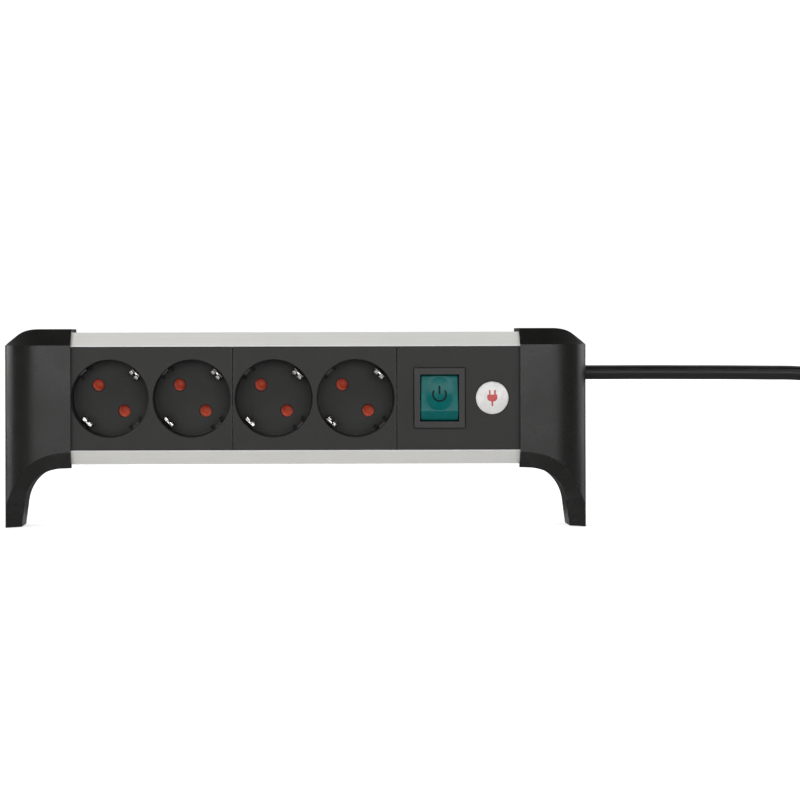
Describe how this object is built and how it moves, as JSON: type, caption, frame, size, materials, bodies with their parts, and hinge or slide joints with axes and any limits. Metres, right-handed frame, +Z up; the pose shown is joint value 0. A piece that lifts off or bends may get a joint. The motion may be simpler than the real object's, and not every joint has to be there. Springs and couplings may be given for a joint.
{
  "type": "desk power strip",
  "caption": "Upright desk power strip: aluminium profile on black end-cap legs, earthed round sockets with shutters, a green rocker switch and a mains lead.",
  "frame": {"origin": "centre of the strip's footprint on the desk, without its lead", "axes": "+X along the strip to the viewer's right and towards the lead, +Y from the front to the back, +Z up"},
  "size_m": [0.757, 0.054, 0.1027],
  "materials": {
    "profile": "fine satin anodised, brushed along its length",
    "cap": "fine spark-eroded texture, black",
    "foot": "matt",
    "panel": "fine matt texture, dark grey black",
    "bezel": "satin",
    "shutter": "satin orange red",
    "nickel": "bright nickel",
    "base": "matt off-white",
    "brass": "bright",
    "rocker": "glossy, slightly translucent green",
    "lamp": "clear",
    "badge": "domed, glossy",
    "relief": "matt",
    "steel": "zinc plated",
    "wire_brown": "satin",
    "wire_blue": "satin",
    "wire_green": "satin",
    "cord": "satin sheath",
    "strap": "hook and loop strap",
    "plug": "satin moulded"
  },
  "bodies": {
    "housing": {"aluminium_profile": "profile", "badge_disc": "badge", "clamp_screw_lower": "steel", "clamp_screw_upper": "steel", "contact_base_left": "base", "contact_base_middle": "base", "cord_clamp_bar": "base", "cord_strain_relief": "relief", "earth_bar": "brass", "earth_clip_1": "nickel", "earth_clip_2": "nickel", "earth_clip_3": "nickel", "earth_clip_4": "nickel", "earth_wire": "wire_green", "hank_tie": "strap", "lead_cord": "cord", "lead_hank": "cord", "lead_tail": "cord", "left_cap_screw_lower": "steel", "left_cap_screw_upper": "steel", "left_end_cap": "cap", "left_rubber_foot": "foot", "line_bar": "brass", "line_in_wire": "wire_brown", "line_out_wire": "wire_brown", "neutral_bar": "brass", "neutral_in_wire": "wire_blue", "neutral_out_wire": "wire_blue", "plug_body": "plug", "plug_earth_contact_1": "nickel", "plug_earth_contact_2": "nickel", "plug_pin_1": "nickel", "plug_pin_2": "nickel", "right_cap_screw_lower": "steel", "right_cap_screw_upper": "steel", "right_end_cap": "cap", "right_rubber_foot": "foot", "shutter_spring_1": "steel", "shutter_spring_2": "steel", "shutter_spring_3": "steel", "shutter_spring_4": "steel", "socket_insert_left": "panel", "socket_insert_middle": "panel", "switch_base": "base", "switch_frame": "bezel", "switch_lamp": "lamp", "switch_panel": "panel", "switch_terminal_1": "brass", "switch_terminal_2": "brass", "switch_terminal_3": "brass", "switch_terminal_4": "brass"},
    "rocker": {"rocker": "rocker"},
    "shutter_1": {"shutter_1": "shutter"},
    "shutter_2": {"shutter_2": "shutter"},
    "shutter_3": {"shutter_3": "shutter"},
    "shutter_4": {"shutter_4": "shutter"}
  },
  "joints": [
    {"name": "rocker_tilt", "type": "hinge", "parent": "housing", "child": "rocker", "pos_m": [0.07395, -0.0156, 0.0669], "axis": [1, 0, 0], "range_deg": [0, 12]},
    {"name": "shutter_1_turn", "type": "hinge", "parent": "housing", "child": "shutter_1", "pos_m": [-0.0953, -0.00025, 0.0669], "axis": [0, 1, 0], "range_deg": [0, 45], "stiffness_Nm_per_rad": 0.0004},
    {"name": "shutter_2_turn", "type": "hinge", "parent": "housing", "child": "shutter_2", "pos_m": [-0.0532, -0.00025, 0.0669], "axis": [0, 1, 0], "range_deg": [0, 45], "stiffness_Nm_per_rad": 0.0004},
    {"name": "shutter_3_turn", "type": "hinge", "parent": "housing", "child": "shutter_3", "pos_m": [-0.0111, -0.00025, 0.0669], "axis": [0, 1, 0], "range_deg": [0, 45], "stiffness_Nm_per_rad": 0.0004},
    {"name": "shutter_4_turn", "type": "hinge", "parent": "housing", "child": "shutter_4", "pos_m": [0.031, -0.00025, 0.0669], "axis": [0, 1, 0], "range_deg": [0, 45], "stiffness_Nm_per_rad": 0.0004}
  ]
}
